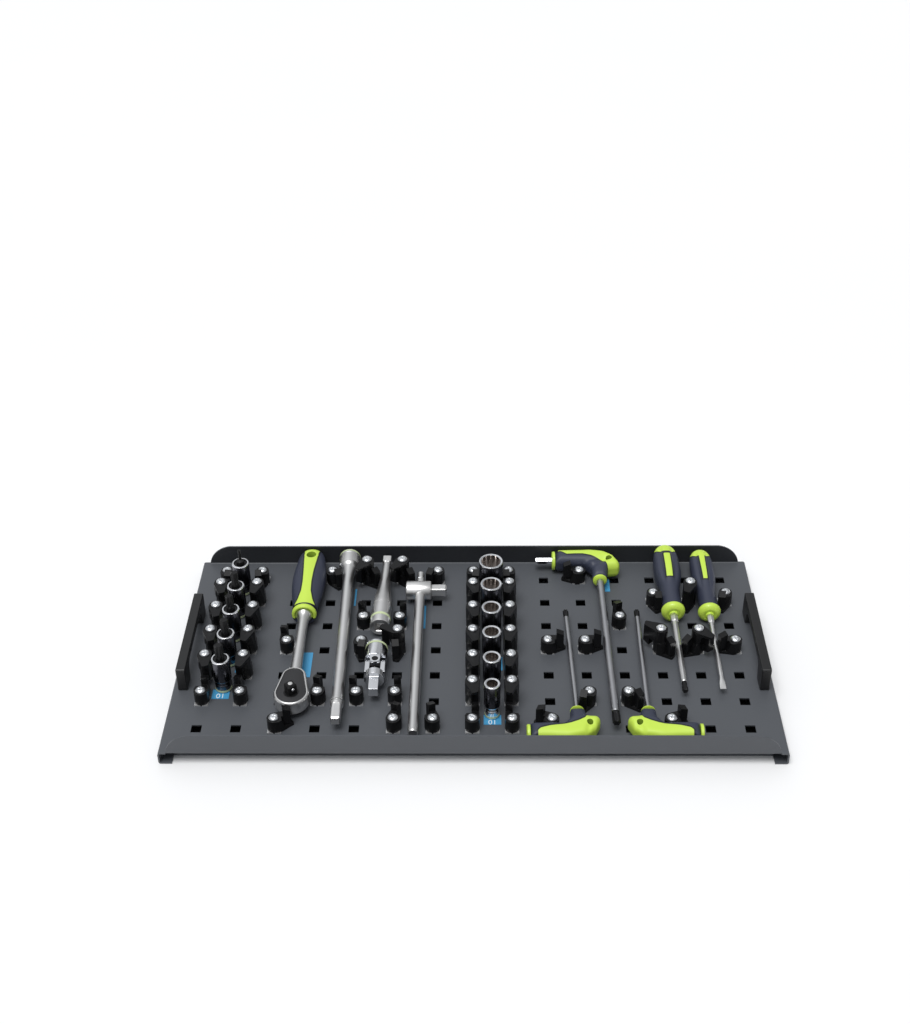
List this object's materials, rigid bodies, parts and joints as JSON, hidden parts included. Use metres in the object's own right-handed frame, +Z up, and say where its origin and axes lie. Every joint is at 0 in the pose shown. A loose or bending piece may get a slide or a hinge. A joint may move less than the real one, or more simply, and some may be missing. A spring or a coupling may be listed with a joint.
{
  "type": "perforated tool tray with clips and hand tools",
  "caption": "Lift-out perforated steel tool tray with end handles, moulded clips and a clipped-in set of sockets, bits, ratchet, extensions, keys and screwdrivers.",
  "frame": {"origin": "centre of the overall box, on the plane that the tray's folded feet stand on", "axes": "+X to the right along the long side, +Y to the back, +Z up"},
  "size_m": [0.5964, 0.294, 0.0708],
  "materials": {
    "sheet": "fine satin powder coat, anthracite",
    "holder": "black moulded polyamide, slight sheen",
    "chrome": "bright chrome plate",
    "satin": "satin chrome plate with fine turning marks",
    "dark_steel": "black oxide",
    "grip": "dark blue-grey handle plastic, satin",
    "lime": "lime soft plastic, satin",
    "cover": "black cover plate, semi gloss"
  },
  "bodies": {
    "tray": {"tray_pan": "sheet", "handle_left": "holder", "handle_right": "holder", "bit_clips": "holder", "socket_clips": "holder", "ratchet_clips": "holder", "extension_clips": "holder", "t_bar_clips": "holder", "key_clips": "holder", "screwdriver_clips": "holder"},
    "bit_set_1": {"bit_socket_1": "chrome", "bit_1": "dark_steel"},
    "bit_set_2": {"bit_socket_2": "chrome", "bit_2": "dark_steel"},
    "bit_set_3": {"bit_socket_3": "chrome", "bit_3": "dark_steel"},
    "bit_set_4": {"bit_socket_4": "chrome", "bit_4": "dark_steel"},
    "bit_set_5": {"bit_socket_5": "chrome", "bit_5": "dark_steel"},
    "socket_19": {"socket_19": "chrome"},
    "socket_16": {"socket_16": "chrome"},
    "socket_14": {"socket_14": "chrome"},
    "socket_13": {"socket_13": "chrome"},
    "socket_12": {"socket_12": "chrome"},
    "socket_10": {"socket_10": "chrome"},
    "ratchet": {"ratchet_grip": "grip", "ratchet_collar": "lime", "ratchet_body": "chrome", "ratchet_cover": "cover"},
    "ratchet_drive": {"ratchet_drive": "dark_steel"},
    "ratchet_lever": {"ratchet_lever": "dark_steel"},
    "long_extension": {"long_extension": "satin"},
    "short_extension": {"short_extension": "satin"},
    "joint_socket": {"joint_socket": "satin"},
    "joint_cross": {"joint_cross": "satin"},
    "joint_drive": {"joint_drive": "satin"},
    "tbar": {"tbar_rod": "satin"},
    "tbar_head": {"tbar_head": "satin"},
    "big_key": {"big_key_grip": "grip", "big_key_rings": "lime", "big_key_shank": "satin"},
    "key_1": {"key_1_grip": "grip", "key_1_rings": "lime", "key_1_shank": "satin"},
    "key_2": {"key_2_grip": "grip", "key_2_rings": "lime", "key_2_shank": "satin"},
    "torx_driver": {"torx_driver_grip": "grip", "torx_driver_collar": "lime", "torx_driver_blade": "satin"},
    "slot_driver": {"slot_driver_grip": "grip", "slot_driver_collar": "lime", "slot_driver_blade": "satin"}
  },
  "joints": [
    {"name": "bit_set_1_lift", "type": "slide", "parent": "tray", "child": "bit_set_1", "axis": [0, 0, 1], "range_m": [0, 0.06]},
    {"name": "bit_set_2_lift", "type": "slide", "parent": "tray", "child": "bit_set_2", "axis": [0, 0, 1], "range_m": [0, 0.06]},
    {"name": "bit_set_3_lift", "type": "slide", "parent": "tray", "child": "bit_set_3", "axis": [0, 0, 1], "range_m": [0, 0.06]},
    {"name": "bit_set_4_lift", "type": "slide", "parent": "tray", "child": "bit_set_4", "axis": [0, 0, 1], "range_m": [0, 0.06]},
    {"name": "bit_set_5_lift", "type": "slide", "parent": "tray", "child": "bit_set_5", "axis": [0, 0, 1], "range_m": [0, 0.06]},
    {"name": "socket_19_lift", "type": "slide", "parent": "tray", "child": "socket_19", "axis": [0, 0, 1], "range_m": [0, 0.06]},
    {"name": "socket_16_lift", "type": "slide", "parent": "tray", "child": "socket_16", "axis": [0, 0, 1], "range_m": [0, 0.06]},
    {"name": "socket_14_lift", "type": "slide", "parent": "tray", "child": "socket_14", "axis": [0, 0, 1], "range_m": [0, 0.06]},
    {"name": "socket_13_lift", "type": "slide", "parent": "tray", "child": "socket_13", "axis": [0, 0, 1], "range_m": [0, 0.06]},
    {"name": "socket_12_lift", "type": "slide", "parent": "tray", "child": "socket_12", "axis": [0, 0, 1], "range_m": [0, 0.06]},
    {"name": "socket_10_lift", "type": "slide", "parent": "tray", "child": "socket_10", "axis": [0, 0, 1], "range_m": [0, 0.06]},
    {"name": "ratchet_lift", "type": "slide", "parent": "tray", "child": "ratchet", "axis": [0, 0, 1], "range_m": [0, 0.06]},
    {"name": "ratchet_drive_spin", "type": "hinge", "parent": "ratchet", "child": "ratchet_drive", "pos_m": [-0.1758, -0.0855, 0.0275], "axis": [0, 0, 1], "continuous": true},
    {"name": "ratchet_lever_swing", "type": "hinge", "parent": "ratchet", "child": "ratchet_lever", "pos_m": [-0.1758, -0.0855, 0.0275], "axis": [0, 0, 1], "range_deg": [-25, 25]},
    {"name": "long_extension_lift", "type": "slide", "parent": "tray", "child": "long_extension", "axis": [0, 0, 1], "range_m": [0, 0.06]},
    {"name": "short_extension_lift", "type": "slide", "parent": "tray", "child": "short_extension", "axis": [0, 0, 1], "range_m": [0, 0.06]},
    {"name": "universal_joint_lift", "type": "slide", "parent": "tray", "child": "joint_socket", "axis": [0, 0, 1], "range_m": [0, 0.06]},
    {"name": "joint_upright_pin", "type": "hinge", "parent": "joint_socket", "child": "joint_cross", "pos_m": [-0.097, -0.039, 0.0278], "axis": [0, 0, 1], "range_deg": [-5, 5]},
    {"name": "joint_level_pin", "type": "hinge", "parent": "joint_cross", "child": "joint_drive", "pos_m": [-0.097, -0.039, 0.0278], "axis": [-1, 0, 0], "range_deg": [-2, 28]},
    {"name": "tbar_lift", "type": "slide", "parent": "tray", "child": "tbar", "axis": [0, 0, 1], "range_m": [0, 0.06]},
    {"name": "tbar_head_slide", "type": "slide", "parent": "tbar", "child": "tbar_head", "axis": [0, -1, 0], "range_m": [-0.003, 0.014]},
    {"name": "big_key_lift", "type": "slide", "parent": "tray", "child": "big_key", "axis": [0, 0, 1], "range_m": [0, 0.06]},
    {"name": "key_1_lift", "type": "slide", "parent": "tray", "child": "key_1", "axis": [0, 0, 1], "range_m": [0, 0.06]},
    {"name": "key_2_lift", "type": "slide", "parent": "tray", "child": "key_2", "axis": [0, 0, 1], "range_m": [0, 0.06]},
    {"name": "torx_driver_lift", "type": "slide", "parent": "tray", "child": "torx_driver", "axis": [0, 0, 1], "range_m": [0, 0.06]},
    {"name": "slot_driver_lift", "type": "slide", "parent": "tray", "child": "slot_driver", "axis": [0, 0, 1], "range_m": [0, 0.06]}
  ]
}
